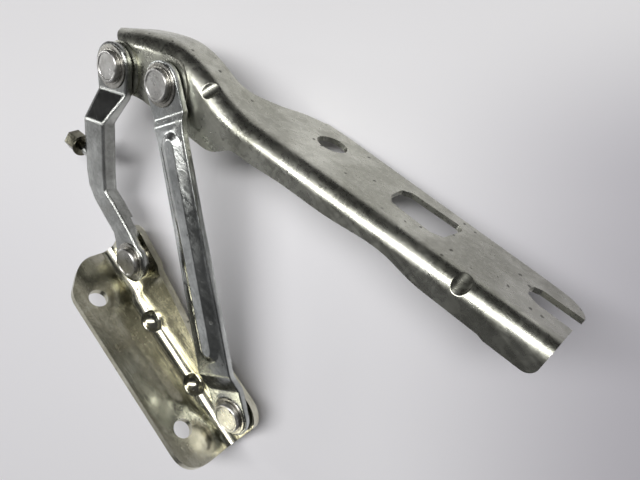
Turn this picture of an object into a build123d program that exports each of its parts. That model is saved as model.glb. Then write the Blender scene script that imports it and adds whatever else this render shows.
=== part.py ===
from build123d import *
import math
import os

os.makedirs("parts", exist_ok=True)

# ---------------------------------------------------------------- dimensions
# Bonnet-lid four-bar hinge.  Millimetres, +Z up, +X along the body flange,
# rivet heads face -Y.
T_BODY = 3.2          # sheet of the body bracket
T_ARM = 2.2           # sheet of the hood arm
T_LINK = 3.0          # sheet of the two links

HOLE_D = 9.0          # body bolt holes
HOLE_PITCH = 73.2     # distance between the two body bolt holes

FL_X0, FL_X1 = -58.5, 55.7      # ends of the body flange
FL_Y0 = -10.1                   # outer edge of the body flange
WEB_Y = 17.7                    # front face of the body web at the long link
PAD_Y = 19.2                    # front face of the body web at the short link
R_BEND_IN = 5.0                 # inside bend radius of the body bracket
GUSSET_X = (-14.6, 22.6)        # pressed gussets along the bend
GUSSET_R = 6.0                  # ball radius of a gusset
GUSSET_H = 5.4                  # height of a gusset above the sharp inside corner
DART_R = 4.4                    # roundness of a dart in the arm's bend
DART_D = 4.5                    # depth of a dart below the sharp outside corner

AX, AZ = -109.7, 78.1           # pivot: short link to hood arm
BX, BZ = -81.9, 94.9            # pivot: long link to hood arm
CX, CZ = -42.1, 20.1            # pivot: short link to body bracket
DX, DZ = 44.6, 17.7             # pivot: long link to body bracket

LOW_Y = 14.0                    # front face of both links at the body bracket
TOP_Y = 22.4                    # front face of both links at the hood arm
ARM_Y = 26.1                    # front face of the hood arm at its pivots
ARM_STEP = 0.9                  # pivot seats stand this far proud of the arm

SHANK_R = 4.0                   # rivet shank
HEAD_R = 7.0                    # rivet head
HEAD_H = 1.75
SHIM_R, SHIM_T = 7.7, 0.4       # thin washer under each head
FLANGE_R, FLANGE_T = 9.2, 0.6   # flange of the bush, or of the collar washer
BUSH_R = 5.2                    # bush barrel in the link's eye
SPACER_R = 8.2
RUN = 0.04                      # running clearance, radial
EYE_A = 10.6                    # eye radii
EYE = 10.0
OPEN_R = 6.85                   # clearance hole of the opened pivot, A

ARM_TILT = 18.3                 # hood arm above the body flange, degrees
ARM_TOP = 107.5                 # outer face of the arm's flange, arm frame
R_ARM = 7.6                     # outside bend radius of the hood arm

# ------------------------------------------------------------------- frames


def front(y, ox=0.0, oz=0.0, deg=0.0):
    """Plane facing -Y at depth y; local x runs at deg above +X, local y up."""
    a = math.radians(deg)
    return Plane(origin=(ox, y, oz), x_dir=(math.cos(a), 0, math.sin(a)), z_dir=(0, -1, 0))


def along(ox, oz, deg, across=0.0):
    """Plane of the bar's side profile: local x along the bar, local y is +Y."""
    a = math.radians(deg)
    n = (-math.sin(a), 0, math.cos(a))
    return Plane(origin=(ox + across * n[0], 0, oz + across * n[2]), x_dir=(math.cos(a), 0, math.sin(a)), z_dir=n)


ARM_O = (-HOLE_PITCH / 2, T_BODY)      # origin of the arm's own frame (x, z)
ta = math.radians(ARM_TILT)


def arm_front(y):
    return front(y, ARM_O[0], ARM_O[1], ARM_TILT)


def arm_plan(h):
    """Plane parallel to the arm's flange at height h; local y is +Y."""
    n = (-math.sin(ta), 0, math.cos(ta))
    return Plane(origin=(ARM_O[0] + h * n[0], 0, ARM_O[1] + h * n[2]), x_dir=(math.cos(ta), 0, math.sin(ta)), z_dir=n)


def to_arm(x, z):
    dx, dz = x - ARM_O[0], z - ARM_O[1]
    return (dx * math.cos(ta) + dz * math.sin(ta), -dx * math.sin(ta) + dz * math.cos(ta))


A_ARM = to_arm(AX, AZ)
B_ARM = to_arm(BX, BZ)

# -------------------------------------------------------------- body bracket
BACK = T_BODY
plan_front = [(-80, PAD_Y), (-31.8, PAD_Y), (-28.2, WEB_Y), (80, WEB_Y)]

with BuildPart() as body_bracket:
    # flange and web as one folded sheet, the web set back at the short link
    with BuildSketch(Plane.XY):
        with BuildLine():
            Polyline((-80, -30), (-80, PAD_Y + BACK), (-32.4, PAD_Y + BACK), (-28.8, WEB_Y + BACK), (80, WEB_Y + BACK), (80, -30), close=True)
        make_face()
    extrude(amount=60)
    with BuildSketch(Plane.XY.offset(T_BODY)):
        with BuildLine():
            Polyline((-81, -31), (-81, PAD_Y), *plan_front[1:3], (81, WEB_Y), (81, -31), close=True)
        make_face()
    extrude(amount=60, mode=Mode.SUBTRACT)
    inner = body_bracket.edges().filter_by(Axis.Z, reverse=True).filter_by_position(Axis.Z, T_BODY - 0.01, T_BODY + 0.01).filter_by_position(Axis.Y, WEB_Y - 0.5, PAD_Y + 0.5)
    fillet(inner, R_BEND_IN)
    outer = body_bracket.edges().filter_by_position(Axis.Z, -0.01, 0.01).filter_by_position(Axis.Y, WEB_Y + BACK - 0.5, PAD_Y + BACK + 0.5)
    fillet(outer, R_BEND_IN + T_BODY)
    # outline of the web: eye at the long link, falling edge, step at the short link
    with BuildSketch(front(40)) as web_cut:
        with BuildLine():
            Spline((-58.5, 20.0), (-56.8, 27.0), (-52.0, 31.6), (-46.0, 31.3), (-29.0, 28.7), (-10.0, 25.1), (8.0, 21.2), (20.0, 20.6), (28.5, 23.4), (35.0, 26.9), (DX, DZ + 11.4),
                   tangents=((0, 1), (1, 0)))
            RadiusArc((DX, DZ + 11.4), (FL_X1 + 0.3, DZ), 11.4)
            Polyline((FL_X1 + 0.3, DZ), (FL_X1 + 0.3, 70), (-90, 70), (-90, 20.0), (-58.5, 20.0))
        make_face()
    extrude(amount=30, mode=Mode.SUBTRACT)
    # outline of the flange
    with BuildSketch(Plane.XY.offset(-1)):
        with BuildLine():
            Polyline((FL_X0, 30), (FL_X0, 9.0))
            Spline((FL_X0, 9.0), (-54.7, -0.2), (-47.4, -6.6), (-38.0, FL_Y0), tangents=((0.05, -1), (1, 0)))
            Line((-38.0, FL_Y0), (FL_X1 - 12.5, FL_Y0))
            Spline((FL_X1 - 12.5, FL_Y0), (FL_X1 - 3.6, FL_Y0 + 2.9), (FL_X1, FL_Y0 + 13.0), tangents=((1, 0), (0, 1)))
            Polyline((FL_X1, FL_Y0 + 13.0), (FL_X1, 30), (FL_X0, 30))
        make_face()
    extrude(amount=80, mode=Mode.INTERSECT)
    # pressed gussets in the bend, a ball nose raised inside and hollow outside
    q = math.sqrt(0.5)
    for gx in GUSSET_X:
        off = (GUSSET_H - GUSSET_R) * q
        with Locations((gx, WEB_Y - off, T_BODY + off)):
            Sphere(GUSSET_R)
    with BuildSketch(Plane.YZ.offset(-80)):
        with BuildLine():
            Polyline((-40, 0), (WEB_Y + BACK - R_BEND_IN - T_BODY, 0))
            RadiusArc((WEB_Y + BACK - R_BEND_IN - T_BODY, 0), (WEB_Y + BACK, R_BEND_IN + T_BODY), -(R_BEND_IN + T_BODY))
            Polyline((WEB_Y + BACK, R_BEND_IN + T_BODY), (WEB_Y + BACK, 12), (WEB_Y + BACK + 6, 12), (WEB_Y + BACK + 6, 60), (-40, 60), (-40, 0))
        make_face()
    extrude(amount=160, mode=Mode.INTERSECT)
    rims = [e for e in body_bracket.edges() if any(abs((e @ 0.5).X - gx) < GUSSET_R + 0.5 and (e @ 0.5).Y < WEB_Y + 0.2 and T_BODY - 0.1 < (e @ 0.5).Z < T_BODY + 8 for gx in GUSSET_X)]
    try:
        fillet(rims, 1.0)
    except Exception:
        print("gusset rims left sharp")
    for gx in GUSSET_X:
        off = (GUSSET_H - GUSSET_R) * q
        with Locations((gx, WEB_Y - off, T_BODY + off)):
            Sphere(GUSSET_R - T_BODY + 0.3, mode=Mode.SUBTRACT)
    # body bolt holes and pivot holes
    with BuildSketch(Plane.XY.offset(-1)):
        with Locations((-HOLE_PITCH / 2, 0), (HOLE_PITCH / 2, 0)):
            Circle(HOLE_D / 2)
    extrude(amount=8, mode=Mode.SUBTRACT)
    with BuildSketch(front(10)):
        with Locations((CX, CZ), (DX, DZ)):
            Circle(SHANK_R)
    extrude(amount=-20, mode=Mode.SUBTRACT)

# ------------------------------------------------------------------ hood arm
# outer face of the arm's back, from the short link's end over the hump to the nose
TOP_CURVE = [(-75.0, 98.2), (-66.0, 103.2), (-57.0, 107.4), (-46.0, 111.6), (-34.0, 115.1), (-20.0, 117.5), (-8.0, 116.4), (3.0, 113.3), (14.0, 109.6), (25.0, 107.7), (38.0, ARM_TOP)]


def shifted(points, d):
    """Points moved d below the curve through them."""
    out = []
    for i, (px, pz) in enumerate(points):
        q0 = points[max(i - 1, 0)]
        q1 = points[min(i + 1, len(points) - 1)]
        tx, tz = q1[0] - q0[0], q1[1] - q0[1]
        if i == len(points) - 1:
            tx, tz = 1.0, 0.0
        ln = math.hypot(tx, tz)
        out.append((px + d * tz / ln, pz - d * tx / ln))
    return out


UNDER_CURVE = shifted(TOP_CURVE, T_ARM)
WEB_MAIN = ARM_Y + ARM_STEP

with BuildPart() as hood_arm:
    with BuildSketch(arm_front(WEB_MAIN)):
        with BuildLine():
            Spline(*TOP_CURVE, tangents=((9, 4.9), (1, 0)))
            Polyline(TOP_CURVE[-1], (190, ARM_TOP), (190, 70), (-75.0, 70), TOP_CURVE[0])
        make_face()
    extrude(amount=-60)
    edge_top = [e for e in hood_arm.edges() if abs((e @ 0.5).Y - WEB_MAIN) < 0.01 and (e @ 0.5).Z > 60 and to_arm((e @ 0.5).X, (e @ 0.5).Z)[1] > 100 and -60 < to_arm((e @ 0.5).X, (e @ 0.5).Z)[0] < 189]
    fillet(edge_top, R_ARM)
    with BuildPart(mode=Mode.PRIVATE) as arm_inside:
        with BuildSketch(arm_front(WEB_MAIN + T_ARM)):
            with BuildLine():
                Spline(*UNDER_CURVE, tangents=((9, 4.9), (1, 0)))
                Polyline(UNDER_CURVE[-1], (195, ARM_TOP - T_ARM), (195, 60), (-80.0, 60), (-80.0, UNDER_CURVE[0][1]), UNDER_CURVE[0])
            make_face()
        extrude(amount=-70)
        edge_in = [e for e in arm_inside.edges() if abs((e @ 0.5).Y - WEB_MAIN - T_ARM) < 0.01 and to_arm((e @ 0.5).X, (e @ 0.5).Z)[1] > 97 and -60 < to_arm((e @ 0.5).X, (e @ 0.5).Z)[0] < 194]
        fillet(edge_in, R_ARM - T_ARM)
    add(arm_inside.part, mode=Mode.SUBTRACT)
    # seats round both pivots, proud of the web
    with BuildSketch(arm_front(ARM_Y)) as seat:
        with Locations((A_ARM[0] + 1.6, A_ARM[1] - 0.8)):
            Circle(12.4)
        with Locations(B_ARM):
            Circle(12.2)
    extrude(amount=-(ARM_STEP + 0.5))
    # outline of the flange seen square on
    with BuildSketch(arm_plan(130)):
        with BuildLine():
            Spline((-57.9, 30.0), (-58.6, 40.0), (-57.0, 45.2), (-51.0, 46.6), tangents=((-0.05, 1), (1, 0)))
            Line((-51.0, 46.6), (2.0, 45.3))
            Spline((2.0, 45.3), (10.5, 47.6), (17.0, 54.0), (23.0, 61.0), (29.0, 68.0), (38.0, 72.4), (52.0, 73.6), tangents=((1, 0), (1, 0)))
            Line((52.0, 73.6), (148.0, 66.2))
            Spline((148.0, 66.2), (158.0, 65.2), (165.0, 63.2), (168.9, 59.4), (170.0, 54.6), tangents=((1, -0.08), (0, -1)))
            Polyline((170.0, 54.6), (170.0, 49.0), (167.8, 43.0), (166.3, 27.0), (166.3, 20.0), (-57.9, 20.0), (-57.9, 30.0))
        make_face()
    extrude(amount=-80, mode=Mode.INTERSECT)
    # outline of the web seen square on
    with BuildSketch(arm_front(90)):
        with BuildLine():
            Line((-60.6, 130), (-60.6, 96.0))
            Spline((-60.6, 96.0), (-55.2, 87.0), (-45.9, 82.8), tangents=((0, -1), (1, 0)))
            Spline((-45.9, 82.8), (-36.0, 85.2), (-27.0, 86.8), tangents=((1, 0), (1, 0.05)))
            Line((-27.0, 86.8), (12.0, 86.4))
            Spline((12.0, 86.4), (19.5, 88.4), (26.5, 93.2), (33.0, 93.9), tangents=((1, 0), (1, 0)))
            Spline((33.0, 93.9), (54.0, 95.2), (80.0, 95.9), (106.0, 97.3), (116.0, 95.4), (127.0, 94.7), tangents=((1, 0), (1, 0)))
            Line((127.0, 94.7), (145.5, 94.3))
            Line((145.5, 94.3), (148.0, 93.5))
            Line((148.0, 93.5), (162.2, 93.4))
            RadiusArc((162.2, 93.4), (166.3, 97.5), -4.1)
            Polyline((166.3, 97.5), (166.3, 103.8), (175.0, 103.8), (175.0, 130.0), (-60.6, 130.0))
        make_face()
    extrude(amount=80, mode=Mode.INTERSECT)
    # rear eye: the web and the bend stop short of the flange there
    with BuildSketch(arm_front(10)):
        with BuildLine():
            Polyline((-80, 130), (-57.2, 130), (-57.2, 107.6), (-50.6, A_ARM[1] + 10.1))
            ThreePointArc((-50.6, A_ARM[1] + 10.1), (A_ARM[0] - 11.2, A_ARM[1]), (A_ARM[0], A_ARM[1] - 11.2))
            Polyline((A_ARM[0], A_ARM[1] - 11.2), (A_ARM[0], 60), (-80, 60), (-80, 130))
        make_face()
    extrude(amount=-23.6, mode=Mode.SUBTRACT)
    # darts pressed across the bend, round-bottomed, raised on its inside
    for px, pz, turn in ((7.6, 111.9, -20.0), (132.1, ARM_TOP, 0.0)):
        a = math.radians(ARM_TILT + turn)
        e1 = (math.cos(a), 0, math.sin(a))
        ox = ARM_O[0] + px * math.cos(ta) - pz * math.sin(ta)
        oz = ARM_O[1] + px * math.sin(ta) + pz * math.cos(ta)
        groove = Plane(origin=(ox, WEB_MAIN, oz), x_dir=e1, z_dir=(-math.sin(a), 1, math.cos(a)))
        with BuildPart(mode=Mode.PRIVATE) as dent:
            with BuildSketch(groove):
                with Locations((0, DART_D - DART_R)):
                    Circle(DART_R + T_ARM)
            extrude(amount=8, both=True)
            add(arm_inside.part, mode=Mode.INTERSECT)
        add(dent.part)
        with BuildSketch(groove):
            with Locations((0, DART_D - DART_R)):
                Circle(DART_R)
        extrude(amount=14, both=True, mode=Mode.SUBTRACT)
        rims = [e for e in hood_arm.edges() if e.geom_type != GeomType.LINE and all(abs(math.hypot(*(lambda v: (v.X, v.Y - DART_D + DART_R))(groove.to_local_coords(e @ k))) - DART_R) < 0.05 for k in (0.2, 0.5, 0.8)) and (e @ 0.5).Y < 45]
        try:
            fillet(rims, 0.8)
        except Exception:
            print("dart rim left sharp")
    # locating hole, closed slot and open slot of the flange
    with BuildSketch(arm_plan(130)) as cuts:
        with Locations((53.2, 57.7)):
            Circle(6.8)
    extrude(amount=-45, mode=Mode.SUBTRACT)
    with BuildSketch(arm_plan(130)) as closed_slot:
        with BuildLine():
            Polyline((89.2, 50.0), (92.4, 44.6), (111.5, 42.6), (116.0, 45.4), (118.2, 59.5), (115.4, 62.2), (93.0, 62.6), (89.2, 59.4), close=True)
        make_face()
        fillet(closed_slot.vertices(), 1.8)
    extrude(amount=-45, mode=Mode.SUBTRACT)
    with BuildSketch(arm_plan(130)) as open_slot:
        with BuildLine():
            Polyline((149.6, 51.6), (150.2, 47.0), (154.2, 44.4), (185.0, 42.2), (185.0, 55.2), (153.8, 56.2), (150.6, 54.6), close=True)
        make_face()
        fillet(open_slot.vertices(), 1.2)
    extrude(amount=-45, mode=Mode.SUBTRACT)
    # pivot holes
    with BuildSketch(arm_front(10)):
        with Locations(A_ARM, B_ARM):
            Circle(SHANK_R)
    extrude(amount=-30, mode=Mode.SUBTRACT)

# ---------------------------------------------------------------- short link
SL_DEG = -54.5                    # direction of the upper leg
us = (math.cos(math.radians(SL_DEG)), math.sin(math.radians(SL_DEG)))
vs = (-us[1], us[0])

# stop stud on the short link's outer edge, with its washer and nut
STUD_P = (-99.9, 17.0, 36.6)      # where the stud leaves its boss
STUD_A = (-0.9326, 0.0, -0.361)       # outward along the stud
STUD_X = (0.361, 0.0, -0.9326)       # square to the stud
STUD_R = 2.1
BOSS_R, BOSS_L = 2.9, 8.4
BOSS_FREE = 3.0                   # bare stud between boss and washer
NUT_AF = 8.6
NUT_L = 6.8
NUT_TURN = 21.0                   # how the nut's flats lie, degrees
WASHER_R, WASHER_T = 5.2, 1.2


def sl(a, c):
    """Point a along and c across the upper leg, as x, z."""
    return (AX + a * us[0] + c * vs[0], AZ + a * us[1] + c * vs[1])


with BuildPart() as short_link:
    # folded side profile: seat at the arm, joggle, flat leg
    with BuildSketch(along(AX, AZ, SL_DEG)) as short_profile:
        with BuildLine():
            Polyline((-14, TOP_Y), (11, TOP_Y), (24, LOW_Y), (115, LOW_Y), (115, 20.3), (24.5, 20.3), (13.0, TOP_Y + T_LINK), (-14, TOP_Y + T_LINK), close=True)
        make_face()
        fillet(short_profile.vertices().sort_by_distance((11, TOP_Y, 0))[0], 2.0)
        fillet(short_profile.vertices().sort_by_distance((24, LOW_Y, 0))[0], 4.0)
        fillet(short_profile.vertices().sort_by_distance((13.0, TOP_Y + T_LINK, 0))[0], 4.5)
    extrude(amount=90, both=True)
    # outline
    with BuildSketch(front(60)) as short_outline:
        with BuildLine():
            Polyline(sl(0, EYE_A), sl(11, 9.6), sl(17, 7.0), sl(24, 4.2), sl(48, 3.6), (-73.8, 34.7), (-66.0, 34.2), (-52.0, 32.0), (CX + 2, CZ + 9.0), (CX, CZ - 9.8), (-49.0, 13.6),
                     (-54.0, 19.2), (-58.0, 22.4), (-68.0, 23.6), (-77.0, 24.9), sl(56, -8.2), sl(49, -9.4), sl(24, -9.6), sl(11, -9.8), sl(0, -EYE_A), close=True)
        make_face()
        with Locations((AX, AZ)):
            Circle(EYE_A)
        with Locations((CX, CZ)):
            Circle(EYE + 0.2)
    extrude(amount=80, mode=Mode.INTERSECT)
    # hollow behind the face, leaving the turned edges
    with BuildPart(mode=Mode.PRIVATE) as hollow:
        with BuildSketch(along(AX, AZ, SL_DEG)):
            with BuildLine():
                Polyline((10.6, TOP_Y + T_LINK), (25.2, LOW_Y + T_LINK), (115, LOW_Y + T_LINK), (115, 40), (10.6, 40), close=True)
            make_face()
        extrude(amount=90, both=True)
        with BuildSketch(front(60)):
            with BuildLine():
                Polyline(sl(5, 7.6), sl(11, 6.8), sl(17, 4.2), sl(24, 1.4), sl(46, 0.8), (-75.4, 31.8), (-66.0, 31.3), (-54.0, 29.6), (-46.0, 31.6), (-30.0, 36.0), (-30.0, 4.0), (-50.0, 10.0),
                         (-57.0, 25.2), (-68.0, 26.5), (-76.0, 27.7), sl(54, -5.2), sl(47, -6.4), sl(24, -6.6), sl(11, -6.8), sl(5, -7.6), close=True)
            make_face()
        extrude(amount=80, mode=Mode.INTERSECT)
    add(hollow.part, mode=Mode.SUBTRACT)
    with BuildSketch(front(PAD_Y - 0.3)):
        with Locations((CX, CZ)):
            Circle(20.5)
    extrude(amount=-10, mode=Mode.SUBTRACT)
    # boss on the outer turned edge, square to the stop stud
    with BuildSketch(Plane(origin=STUD_P, x_dir=STUD_X, z_dir=STUD_A).offset(-BOSS_FREE)):
        Circle(BOSS_R)
    extrude(amount=-(BOSS_L - BOSS_FREE))
    # eyes
    with BuildSketch(front(10)):
        with Locations((CX, CZ)):
            Circle(BUSH_R)
        with Locations((AX, AZ)):
            Circle(OPEN_R)
    extrude(amount=-30, mode=Mode.SUBTRACT)
    with BuildSketch(Plane(origin=STUD_P, x_dir=STUD_X, z_dir=STUD_A)):
        Circle(STUD_R)
    extrude(amount=-BOSS_L - 1, mode=Mode.SUBTRACT)

# ----------------------------------------------------------------- long link
LL_LEN = math.hypot(DX - BX, DZ - BZ)
LL_DEG = math.degrees(math.atan2(DZ - BZ, DX - BX))
ul = (math.cos(math.radians(LL_DEG)), math.sin(math.radians(LL_DEG)))
MID0, MID1 = 16.4, 127.0          # where the slanted middle starts and ends
YM0, YM1 = 20.9, 11.0

with BuildPart() as long_link:
    with BuildSketch(along(BX, BZ, LL_DEG)) as long_profile:
        with BuildLine():
            Polyline((-14, TOP_Y), (13.0, TOP_Y), (MID0, YM0), (MID1, YM1), (135.5, LOW_Y), (165, LOW_Y), (165, LOW_Y + T_LINK), (134.5, LOW_Y + T_LINK), (MID1 + 0.2, YM1 + T_LINK), (MID0 + 0.4, YM0 + T_LINK), (13.6, TOP_Y + T_LINK), (-14, TOP_Y + T_LINK), close=True)
        make_face()
        for corner, r in (((13.0, TOP_Y, 0), 2.0), ((MID0, YM0, 0), 2.5), ((MID1, YM1, 0), 4.0), ((135.5, LOW_Y, 0), 2.5), ((134.5, LOW_Y + T_LINK, 0), 4.0), ((MID1 + 0.2, YM1 + T_LINK, 0), 2.0)):
            fillet(long_profile.vertices().sort_by_distance(corner)[0], r)
    extrude(amount=40, both=True)
    with BuildSketch(front(60, BX, BZ, LL_DEG)):
        with BuildLine():
            Polyline((0, EYE), (13, 9.7), (22, 8.5), (60, 8.7), (100, 9.7), (127, 10.1), (LL_LEN, EYE), (LL_LEN, -EYE), (127, -10.1), (100, -9.7), (60, -8.7), (22, -8.5), (13, -9.7), (0, -EYE), close=True)
        make_face()
        Circle(EYE)
        with Locations((LL_LEN, 0)):
            Circle(EYE)
    extrude(amount=80, mode=Mode.INTERSECT)
    # pressed rib
    slope = math.atan2(YM1 - YM0, MID1 - MID0)
    dirm = (ul[0] * math.cos(slope), math.sin(slope), ul[1] * math.cos(slope))
    nface = (ul[0] * math.sin(slope), -math.cos(slope), ul[1] * math.sin(slope))
    midc = ((MID0 + MID1) / 2, (YM0 + YM1) / 2)
    rib = Plane(origin=(BX + midc[0] * ul[0], midc[1], BZ + midc[0] * ul[1]), x_dir=dirm, z_dir=nface)
    with BuildSketch(rib.offset(-0.02)):
        with Locations((-1.5, 0)):
            SlotOverall(102.5, 12.8)
    extrude(amount=1.72, taper=64)
    crown = [e for e in long_link.edges() if abs(rib.to_local_coords(e @ 0.5).Z - 1.70) < 0.02]
    try:
        fillet(crown, 1.6)
    except Exception:
        print("rib crown left sharp")
    with BuildSketch(rib.offset(-T_LINK - 0.05)):
        with Locations((-1.5, 0)):
            SlotOverall(98.5, 9.4)
    extrude(amount=1.5, taper=55, mode=Mode.SUBTRACT)
    with BuildSketch(front(8, BX, BZ, LL_DEG)):
        with Locations((0, 0), (LL_LEN, 0)):
            Circle(BUSH_R)
    extrude(amount=-30, mode=Mode.SUBTRACT)

# ------------------------------------------------------------ pivot hardware


for tag, px, pz, y_link, y_web, back_y in (
    ("a", AX, AZ, TOP_Y, ARM_Y, ARM_Y + ARM_STEP + T_ARM),
    ("b", BX, BZ, TOP_Y, ARM_Y, ARM_Y + ARM_STEP + T_ARM),
    ("c", CX, CZ, LOW_Y, PAD_Y, PAD_Y + T_BODY),
    ("d", DX, DZ, LOW_Y, WEB_Y, WEB_Y + T_BODY),
):
    y_shim = y_link - FLANGE_T - SHIM_T - 0.05
    y_head = y_shim - 0.05 - HEAD_H
    with BuildPart() as rivet:
        with BuildSketch(Plane(origin=(px, 0, pz), x_dir=(1, 0, 0), z_dir=(0, 0, 1))):
            with BuildLine():
                Polyline((0, y_head + 0.25), (HEAD_R - 1.5, y_head + 0.25), (HEAD_R - 1.2, y_head), (HEAD_R - 0.45, y_head), (HEAD_R, y_head + 0.45), (HEAD_R, y_head + HEAD_H), (SHANK_R, y_head + HEAD_H),
                         (SHANK_R, back_y), (6.3, back_y), (6.3, back_y + 0.8), (4.4, back_y + 2.0), (0, back_y + 2.2), close=True)
            make_face()
        revolve(axis=Axis((px, 0, pz), (0, 1, 0)))
    rivet.part.label = "pivot_rivet_" + tag
    export_step(rivet.part, "parts/pivot_rivet_" + tag + ".step")

    with BuildPart() as shim:
        with BuildSketch(front(y_shim, px, pz)):
            Circle(SHIM_R)
            Circle(SHANK_R + RUN, mode=Mode.SUBTRACT)
        extrude(amount=-SHIM_T)
    shim.part.label = "shim_washer_" + tag
    export_step(shim.part, "parts/shim_washer_" + tag + ".step")

    if tag != "a":
        with BuildPart() as bush:
            with BuildSketch(front(y_link, px, pz)):
                Circle(FLANGE_R)
            extrude(amount=FLANGE_T)
            with BuildSketch(front(y_link, px, pz)):
                Circle(BUSH_R)
            extrude(amount=-T_LINK)
            chamfer(bush.faces().sort_by(Axis.Y)[0].outer_wire().edges(), 0.2)
            with BuildSketch(front(y_link - 5, px, pz)):
                Circle(SHANK_R + RUN)
            extrude(amount=-20, mode=Mode.SUBTRACT)
        bush.part.label = "flanged_bush_" + tag
        export_step(bush.part, "parts/flanged_bush_" + tag + ".step")
    else:
        with BuildPart() as collar:
            with BuildSketch(front(y_link - 0.04, px, pz)):
                Circle(FLANGE_R + 0.3)
                Circle(SHANK_R + RUN, mode=Mode.SUBTRACT)
            extrude(amount=FLANGE_T)
        collar.part.label = "collar_washer_a"
        export_step(collar.part, "parts/collar_washer_a.step")

    y_sp = y_link + T_LINK + 0.06
    with BuildPart() as spacer:
        with BuildSketch(front(y_sp, px, pz)):
            Circle(SPACER_R if tag != "a" else FLANGE_R + 0.3)
            Circle(SHANK_R + RUN, mode=Mode.SUBTRACT)
        extrude(amount=-(y_web - y_sp))
    spacer.part.label = "spacer_washer_" + tag
    export_step(spacer.part, "parts/spacer_washer_" + tag + ".step")

# ------------------------------------------------------------------ stop stud
stud_plane = Plane(origin=STUD_P, x_dir=STUD_X, z_dir=STUD_A)

with BuildPart() as stop_stud:
    with BuildSketch(stud_plane.offset(-BOSS_L)):
        Circle(STUD_R)
    extrude(amount=BOSS_L + WASHER_T + NUT_L + 0.7)
    chamfer(stop_stud.edges().filter_by(GeomType.CIRCLE).group_by(Axis.X)[0], 0.5)

with BuildPart() as stop_washer:
    with BuildSketch(stud_plane.offset(0.03)):
        Circle(WASHER_R)
        Circle(STUD_R + RUN, mode=Mode.SUBTRACT)
    extrude(amount=WASHER_T - 0.06)

with BuildPart() as stop_nut:
    with BuildSketch(stud_plane.offset(WASHER_T)):
        RegularPolygon(NUT_AF / 2, 6, major_radius=False, rotation=NUT_TURN)
    extrude(amount=NUT_L)
    with BuildSketch(stud_plane.offset(WASHER_T)):
        Circle(NUT_AF / 2 + 0.62)
    extrude(amount=NUT_L, mode=Mode.INTERSECT)
    with BuildSketch(stud_plane.offset(WASHER_T)):
        Circle(STUD_R)
    extrude(amount=NUT_L, mode=Mode.SUBTRACT)

for node, solid in (("stop_stud", stop_stud), ("stop_washer", stop_washer), ("stop_nut", stop_nut)):
    solid.part.label = node
    export_step(solid.part, "parts/" + node + ".step")

body_bracket.part.label = "body_bracket"
export_step(body_bracket.part, "parts/body_bracket.step")
hood_arm.part.label = "hood_arm"
export_step(hood_arm.part, "parts/hood_arm.step")
short_link.part.label = "short_link"
export_step(short_link.part, "parts/short_link.step")
long_link.part.label = "long_link"
export_step(long_link.part, "parts/long_link.step")
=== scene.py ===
import math

import bpy
from mathutils import Matrix, Vector

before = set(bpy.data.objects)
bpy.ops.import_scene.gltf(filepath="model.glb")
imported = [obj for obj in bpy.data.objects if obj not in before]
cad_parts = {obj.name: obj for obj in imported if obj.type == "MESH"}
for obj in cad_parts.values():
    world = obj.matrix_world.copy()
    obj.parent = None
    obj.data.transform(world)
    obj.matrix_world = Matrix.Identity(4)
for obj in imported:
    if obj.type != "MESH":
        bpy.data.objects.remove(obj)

MM = 0.001
scene = bpy.context.scene
scene.view_settings.view_transform = "Standard"
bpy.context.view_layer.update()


# ---------------------------------------------------------------- camera
RIGHT = Vector((0.59217, 0.56626, 0.57331)).normalized()
DOWN = Vector((0.78902, -0.26294, -0.55526)).normalized()
AHEAD = RIGHT.cross(DOWN).normalized()
DOWN = AHEAD.cross(RIGHT).normalized()
cam = bpy.data.objects.new("camera", bpy.data.cameras.new("camera"))
scene.collection.objects.link(cam)
cam.data.sensor_width = 36.0
cam.data.lens = 530.40 / 640 * 36.0
cam.data.clip_start, cam.data.clip_end = 0.01, 20.0
turn = Matrix((RIGHT, -DOWN, -AHEAD)).transposed().to_4x4()
cam.matrix_world = Matrix.Translation(Vector((45.37, -130.30, 231.18)) * MM) @ turn
scene.camera = cam


# ---------------------------------------------------------------- node helpers
class Tree:
    """A small wrapper that adds shader nodes and links them in one call."""

    def __init__(self, tree):
        self.t = tree
        self.t.nodes.clear()

    def node(self, kind, ins=None, **props):
        n = self.t.nodes.new(kind)
        for k, v in props.items():
            setattr(n, k, v)
        for k, v in (ins or {}).items():
            s = n.inputs[k]
            if isinstance(v, bpy.types.NodeSocket):
                self.t.links.new(v, s)
            else:
                s.default_value = v
        return n

    def math(self, op, a, b=0.0, c=0.0, clamp=False):
        n = self.node("ShaderNodeMath", {0: a, 1: b, 2: c}, operation=op)
        n.use_clamp = clamp
        return n.outputs[0]

    def ramp(self, fac, lo, hi, out_lo=0.0, out_hi=1.0, smooth=True):
        n = self.node("ShaderNodeMapRange", {"Value": fac, "From Min": lo, "From Max": hi, "To Min": out_lo, "To Max": out_hi})
        n.interpolation_type = "SMOOTHSTEP" if smooth else "LINEAR"
        n.clamp = True
        return n.outputs[0]

    def mix(self, fac, a, b, blend="MIX"):
        n = self.node("ShaderNodeMix", data_type="RGBA", blend_type=blend)
        for i, v in ((0, fac), (6, a), (7, b)):
            s = n.inputs[i]
            if isinstance(v, bpy.types.NodeSocket):
                self.t.links.new(v, s)
            else:
                s.default_value = v if i == 0 else (*v, 1.0)
        return n.outputs[2]

    def noise(self, vec, scale, detail=3.0, rough=0.55, dist=0.0):
        n = self.node("ShaderNodeTexNoise", {"Vector": vec, "Scale": scale, "Detail": detail, "Roughness": rough, "Distortion": dist})
        return n.outputs[0]

    def moved(self, vec, move=(0, 0, 0), turn=(0, 0, 0), size=(1, 1, 1)):
        n = self.node("ShaderNodeMapping", {"Vector": vec, "Location": move, "Rotation": turn, "Scale": size})
        return n.outputs[0]


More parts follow.
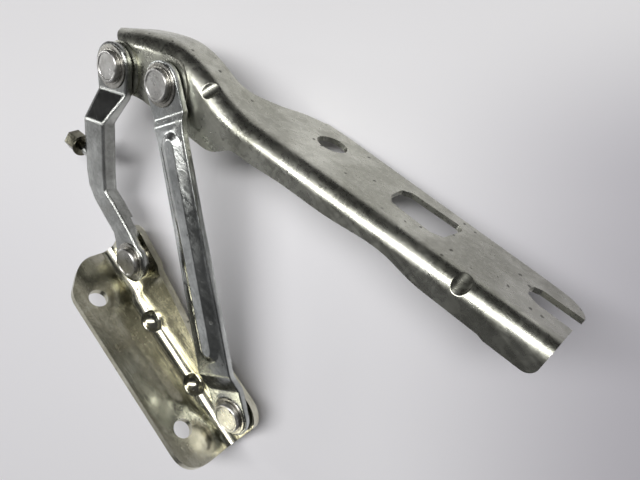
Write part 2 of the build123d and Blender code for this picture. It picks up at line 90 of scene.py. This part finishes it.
def plated(name, seed, dark, light, rough=(0.3, 0.42), blotch=45.0, grain_dir=0.0, pits=0.35, scratches=0.5,
           stain=(0.30, 0.29, 0.25), stain_amount=0.35, ripple=0.0, bump=0.12, round_off=0.0):
    """Zinc plated, pressed steel: clouded plating, rolling grain, handling scratches and small dark pits."""
    m = bpy.data.materials.new(name)
    m.use_nodes = True
    t = Tree(m.node_tree)
    at = t.node("ShaderNodeTexCoord").outputs["Object"]
    at = t.moved(at, move=(seed * 0.137, seed * 0.071, seed * 0.053))
    # clouds in the plating
    cloud = t.ramp(t.noise(at, blotch, 4.0, 0.6, 0.4), 0.36, 0.66)
    fine = t.noise(at, 620.0, 3.0, 0.6)
    mottle = t.ramp(t.noise(at, 210.0, 4.0, 0.7, 0.6), 0.38, 0.68)
    col = t.mix(cloud, dark, light)
    col = t.mix(t.math("MULTIPLY", mottle, 0.30), col, tuple(c * 0.72 for c in dark))
    col = t.mix(t.ramp(fine, 0.42, 0.70, 0.0, 0.22), col, tuple(min(1.0, c * 1.12) for c in light))
    # stains: worn and greasy places
    worn = t.ramp(t.noise(at, 24.0, 5.0, 0.62, 0.8), 0.55, 0.72)
    col = t.mix(t.math("MULTIPLY", worn, stain_amount), col, stain)
    # rolling grain: fine lines along the sheet
    lay = t.moved(at, turn=(0.0, grain_dir, 0.0), size=(16.0, 700.0, 700.0))
    grain = t.noise(lay, 1.0, 2.0, 0.5)
    # scratches in two crossing directions
    cuts = None
    for k, (ax, ay, az) in enumerate(((0.2, 0.5 + grain_dir, 0.9), (1.3, -0.4 + grain_dir, 0.2), (0.5, 1.2, -0.6))):
        s = t.moved(at, move=(0.31 * k, 0.17, 0.4), turn=(ax, ay, az), size=(20.0, 520.0, 520.0))
        line = t.noise(s, 1.0, 0.0, 0.0, 0.15)
        thin = t.ramp(t.math("ABSOLUTE", t.math("SUBTRACT", line, 0.5)), 0.0, 0.012, 1.0, 0.0)
        where = t.ramp(t.noise(t.moved(at, move=(k * 0.7, 0.2, 0.1)), 60.0, 2.0), 0.52, 0.66)
        one = t.math("MULTIPLY", thin, where)
        cuts = one if cuts is None else t.math("MAXIMUM", cuts, one)
    cuts = t.math("MULTIPLY", cuts, scratches)
    # pits: sparse small dark marks
    cells = t.node("ShaderNodeTexVoronoi", {"Vector": at, "Scale": 230.0, "Randomness": 1.0}, feature="F1")
    size = t.node("ShaderNodeSeparateColor", {0: cells.outputs["Color"]}).outputs[0]
    keep = t.ramp(size, 1.0 - pits * 0.55, 1.0 - pits * 0.55 + 0.06)
    wob = t.math("ADD", cells.outputs["Distance"], t.math("MULTIPLY", t.math("SUBTRACT", fine, 0.5), 0.35))
    pit = t.math("MULTIPLY", t.ramp(wob, 0.10, 0.22, 1.0, 0.0), keep)
    col = t.mix(t.math("MULTIPLY", pit, 0.72), col, (0.075, 0.072, 0.065))
    col = t.mix(t.math("MULTIPLY", cuts, 0.55), col, (0.82, 0.81, 0.78))
    r = t.math("ADD", t.ramp(mottle, 0.0, 1.0, rough[0], rough[1]), t.math("MULTIPLY", worn, 0.06))
    r = t.math("ADD", r, t.math("MULTIPLY", pit, 0.22))
    r = t.math("ADD", r, t.math("MULTIPLY", t.math("SUBTRACT", grain, 0.5), 0.16), clamp=True)
    # relief: grain, mottling, pits, scratches and a slow ripple left by the press
    h = t.math("ADD", t.math("MULTIPLY", grain, 0.16), t.math("MULTIPLY", mottle, 0.30))
    h = t.math("ADD", h, t.math("MULTIPLY", fine, 0.22))
    h = t.math("SUBTRACT", h, t.math("MULTIPLY", pit, 1.1))
    h = t.math("SUBTRACT", h, t.math("MULTIPLY", cuts, 0.7))
    relief = {"Strength": bump, "Distance": 0.0004, "Height": h}
    if round_off:
        relief["Normal"] = t.node("ShaderNodeBevel", {"Radius": round_off}, samples=6).outputs[0]
    nrm = t.node("ShaderNodeBump", relief).outputs[0]
    if ripple:
        slow = t.noise(t.moved(at, turn=(0, grain_dir, 0), size=(0.45, 1.0, 1.0)), 62.0, 2.0, 0.45)
        nrm = t.node("ShaderNodeBump", {"Strength": ripple, "Distance": 0.004, "Height": slow, "Normal": nrm}).outputs[0]
    b = t.node("ShaderNodeBsdfPrincipled", {"Base Color": col, "Metallic": 1.0, "Roughness": r, "Normal": nrm})
    t.node("ShaderNodeOutputMaterial", {"Surface": b.outputs[0]})
    return m


ARM = math.radians(-17.0)          # direction of the arm's rolling grain, about Y
arm_mat = plated("arm_plate", 1.0, (0.42, 0.42, 0.355), (0.68, 0.68, 0.60), rough=(0.26, 0.35), blotch=38.0,
                 grain_dir=ARM, pits=0.62, scratches=0.55, ripple=0.05)
base_mat = plated("base_plate", 2.3, (0.48, 0.46, 0.35), (0.74, 0.72, 0.60), rough=(0.17, 0.25), blotch=34.0,
                  pits=0.18, scratches=0.35, ripple=0.08, stain=(0.27, 0.22, 0.13))
short_mat = plated("short_link_plate", 3.1, (0.34, 0.345, 0.325), (0.58, 0.59, 0.56), rough=(0.16, 0.23), blotch=50.0,
                   grain_dir=1.3, pits=0.22, scratches=0.45, ripple=0.08, round_off=0.0022)
long_mat = plated("long_link_plate", 4.7, (0.42, 0.435, 0.42), (0.72, 0.74, 0.715), rough=(0.16, 0.24), blotch=42.0,
                  grain_dir=0.9, pits=0.25, scratches=0.5, ripple=0.06, round_off=0.0009)
rivet_mat = plated("rivet_zinc", 5.9, (0.50, 0.49, 0.46), (0.72, 0.71, 0.68), rough=(0.28, 0.35), blotch=160.0,
                   pits=0.30, scratches=0.3, stain_amount=0.15, bump=0.22)
bush_mat = plated("bush_zinc", 6.4, (0.40, 0.385, 0.34), (0.58, 0.565, 0.52), rough=(0.24, 0.32), blotch=90.0,
                  pits=0.15, scratches=0.2, stain_amount=0.3)
stud_mat = plated("stud_zinc", 7.2, (0.09, 0.085, 0.06), (0.26, 0.25, 0.19), rough=(0.20, 0.30), blotch=120.0,
                  pits=0.25, scratches=0.2, stain_amount=0.5, stain=(0.07, 0.06, 0.035))

for n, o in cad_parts.items():
    o.data.materials.clear()
    o.data.materials.append(
        arm_mat if n == "hood_arm" else
        base_mat if n == "body_bracket" else
        short_mat if n == "short_link" else
        long_mat if n == "long_link" else
        rivet_mat if n.startswith("pivot_rivet") else
        stud_mat if n.startswith("stop_") else bush_mat)


# ---------------------------------------------------------------- edges and shading of the sheet parts
def soft_edges():
    """A node group that shades a mesh smooth, except across edges sharper than 32 degrees."""
    g = bpy.data.node_groups.new("smooth_by_angle", "GeometryNodeTree")
    g.interface.new_socket("Geometry", in_out="INPUT", socket_type="NodeSocketGeometry")
    g.interface.new_socket("Geometry", in_out="OUTPUT", socket_type="NodeSocketGeometry")
    i, o = g.nodes.new("NodeGroupInput"), g.nodes.new("NodeGroupOutput")
    angle = g.nodes.new("GeometryNodeInputMeshEdgeAngle")
    over = g.nodes.new("FunctionNodeCompare")
    over.data_type, over.operation = "FLOAT", "GREATER_THAN"
    over.inputs[1].default_value = math.radians(32.0)
    g.links.new(angle.outputs[0], over.inputs[0])
    sharp = g.nodes.new("GeometryNodeStoreNamedAttribute")
    sharp.data_type, sharp.domain = "BOOLEAN", "EDGE"
    sharp.inputs["Name"].default_value = "sharp_edge"
    smooth = g.nodes.new("GeometryNodeSetShadeSmooth")
    g.links.new(i.outputs[0], sharp.inputs["Geometry"])
    g.links.new(over.outputs[0], sharp.inputs["Value"])
    g.links.new(sharp.outputs[0], smooth.inputs["Geometry"])
    g.links.new(smooth.outputs[0], o.inputs[0])
    return g


SMOOTH = soft_edges()
EDGE = {"hood_arm": 0.40, "body_bracket": 0.40, "short_link": 0.9, "long_link": 0.40}
for n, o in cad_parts.items():
    w = o.modifiers.new("weld", "WELD")
    w.merge_threshold = 0.000004
    b = o.modifiers.new("edge", "BEVEL")
    b.width = EDGE.get(n, 0.25) * MM
    b.segments = 2
    b.limit_method = "ANGLE"
    b.angle_limit = math.radians(38.0)
    b.use_clamp_overlap = True
    s = o.modifiers.new("smooth", "NODES")
    s.node_group = SMOOTH
    k = o.modifiers.new("flat_faces", "WEIGHTED_NORMAL")
    k.mode = "FACE_AREA"
    k.weight = 100
    k.thresh = 0.01
    k.keep_sharp = True


# ---------------------------------------------------------------- table top
UP = Vector((-0.01, -0.909, 0.417)).normalized()
foot = UP * (-0.0192)
side = RIGHT - UP * RIGHT.dot(UP)
side.normalize()
fwd = UP.cross(side)
AWAY = fwd if fwd.z > 0 else -fwd      # along the table towards its far edge, the picture's top
me = bpy.data.meshes.new("table")
S = 1.6
me.from_pydata([foot + side * x + fwd * y for x, y in ((-S, -S), (S, -S), (S, S), (-S, S))], [], [(0, 1, 2, 3)])
me.update()
table = bpy.data.objects.new("table", me)
scene.collection.objects.link(table)
if me.polygons[0].normal.dot(UP) < 0:
    me.flip_normals()
m = bpy.data.materials.new("pale_table")
m.use_nodes = True
t = Tree(m.node_tree)
spot = t.node("ShaderNodeTexCoord").outputs["Object"]


def measured(direction):
    return t.node("ShaderNodeVectorMath", {0: spot, 1: tuple(direction)}, operation="DOT_PRODUCT").outputs["Value"]


# the top is a little greyer towards its near right corner, which is painted shade, and a little lighter towards the
# far edge, which is painted light
MIDDLE = Vector((0.0454, -0.1303, 0.2312)) + AHEAD * 0.29
right_of, beyond = side.dot(MIDDLE), AWAY.dot(MIDDLE)
painted_corner_shade = t.math("MULTIPLY", t.ramp(measured(side), right_of + 0.03, right_of + 0.16), t.ramp(measured(AWAY), beyond + 0.02, beyond + 0.10, 1.0, 0.0))
painted_far_glow = t.ramp(measured(AWAY), beyond - 0.02, beyond + 0.10)
top = t.mix(painted_far_glow, (0.82, 0.81, 0.83), (0.84, 0.83, 0.84))
top = t.mix(painted_corner_shade, top, (0.50, 0.485, 0.52))
b = t.node("ShaderNodeBsdfPrincipled", {"Base Color": top, "Roughness": 0.42, "Specular IOR Level": 0.35})
clear = t.node("ShaderNodeBsdfTransparent")
back = t.node("ShaderNodeNewGeometry").outputs["Backfacing"]
mixed = t.node("ShaderNodeMixShader", {0: back, 1: b.outputs[0], 2: clear.outputs[0]})
t.node("ShaderNodeOutputMaterial", {"Surface": mixed.outputs[0]})
me.materials.append(m)


# ---------------------------------------------------------------- light
def panel(name, towards, distance, size_x, size_y, power, along=Vector((1, 0, 0)), colour=(1, 1, 1), aim=Vector((0, 0.035, 0.08))):
    d = Vector(towards).normalized()
    data = bpy.data.lights.new(name, "AREA")
    data.shape = "RECTANGLE"
    data.size, data.size_y = size_x, size_y
    data.energy = power
    data.color = colour
    o = bpy.data.objects.new(name, data)
    scene.collection.objects.link(o)
    z = d
    x = (along - z * along.dot(z)).normalized()
    y = z.cross(x)
    o.matrix_world = Matrix.Translation(aim + d * distance) @ Matrix((x, y, z)).transposed().to_4x4()
    return o


world = bpy.data.worlds.new("room")
scene.world = world
world.use_nodes = True
t = Tree(world.node_tree)
look = t.node("ShaderNodeTexCoord").outputs["Generated"]


WINDOW = Vector((-0.75, -0.52, -0.42)).normalized()


def facing(direction):
    return t.node("ShaderNodeVectorMath", {0: look, 1: tuple(Vector(direction).normalized())}, operation="DOT_PRODUCT").outputs["Value"]


# a dim room: grey on the near side, dark beyond the table's far edge, a soft glow round the ceiling light
near_side = t.ramp(facing(-AWAY), -0.35, 0.75, 0.03, 0.07)
left_side = t.math("MULTIPLY", t.ramp(facing(-side), 0.70, 0.91, 0.0, 0.60),
                   t.math("MULTIPLY", t.ramp(facing(UP), 0.10, 0.56, 1.0, 0.0), t.ramp(facing(AWAY), -0.10, 0.62, 1.0, 0.12)))
ceiling = t.ramp(facing(UP + AWAY * 0.25), 0.89, 1.0, 0.0, 0.55)
behind = t.ramp(facing(-UP), 0.0, 0.6, 0.0, 0.25)
total = t.math("ADD", t.math("ADD", t.math("ADD", near_side, left_side), ceiling), behind)
bg = t.node("ShaderNodeBackground", {"Color": (0.97, 0.97, 1.0, 1), "Strength": total})
t.node("ShaderNodeOutputWorld", {"Surface": bg.outputs[0]})

panel("over", UP + AWAY * 0.16 - side * 0.10, 1.0, 1.4, 0.24, 9.6, along=side)
panel("window", WINDOW, 1.3, 0.50, 0.10, 1.2, along=Vector((-0.23, 0.57, -0.30)))
